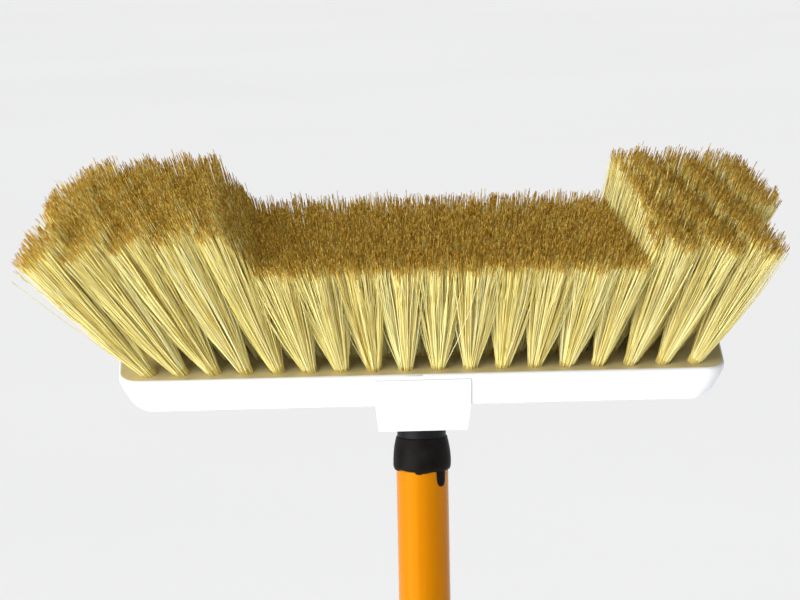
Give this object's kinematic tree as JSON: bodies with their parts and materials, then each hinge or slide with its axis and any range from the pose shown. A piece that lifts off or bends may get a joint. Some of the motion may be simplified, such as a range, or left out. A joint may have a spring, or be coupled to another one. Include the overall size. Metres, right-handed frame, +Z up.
{
  "type": "snow broom",
  "caption": "Wide push-style snow broom: moulded block with flared fibre tufts, raised ends and low centre, screwed on a long round pole.",
  "frame": {"origin": "centre of the pole tube's butt end, on the pole's axis, where the pole is held", "axes": "+Z up the pole to the head, +X along the head block, -Y the side that the bristle face leans towards"},
  "size_m": [0.4131, 0.115, 1.3926],
  "materials": {
    "white_block": "satin moulded",
    "fibre": "natural tampico-like fibre, brown at the cut tips",
    "steel": "drawn wire",
    "black_nylon": "moulded",
    "washer_rubber": "matte",
    "dipped_rubber": "semi-matte dipped coating",
    "pole_lacquer": "orange-yellow gloss"
  },
  "bodies": {
    "pole": {"pole_tube": "pole_lacquer", "threaded_tip": "black_nylon", "tip_pin": "steel", "dipped_sleeve": "dipped_rubber", "end_cap": "black_nylon"},
    "washer": {"friction_washer": "washer_rubber"},
    "head": {"head_block": "white_block", "tufts_row_1_left": "fibre", "tufts_row_1_centre": "fibre", "tufts_row_1_right": "fibre", "tufts_row_2_left": "fibre", "tufts_row_2_centre": "fibre", "tufts_row_2_right": "fibre", "tufts_row_3_left": "fibre", "tufts_row_3_centre": "fibre", "tufts_row_3_right": "fibre", "tufts_row_4_left": "fibre", "tufts_row_4_centre": "fibre", "tufts_row_4_right": "fibre", "staples_row_1": "steel", "staples_row_2": "steel", "staples_row_3": "steel", "staples_row_4": "steel"}
  },
  "joints": [
    {"name": "head_unscrew", "type": "hinge", "parent": "pole", "child": "washer", "pos_m": [0, 0, 1.208], "axis": [0, 0, 1], "range_deg": [0, 1620]},
    {"name": "head_rise", "type": "slide", "parent": "washer", "child": "head", "axis": [0, 0, 1], "range_m": [0, 0.02287]}
  ],
  "couplings": [
    {"joint": "head_rise", "follows": "head_unscrew", "m_per_rad": 0.00080851}
  ]
}
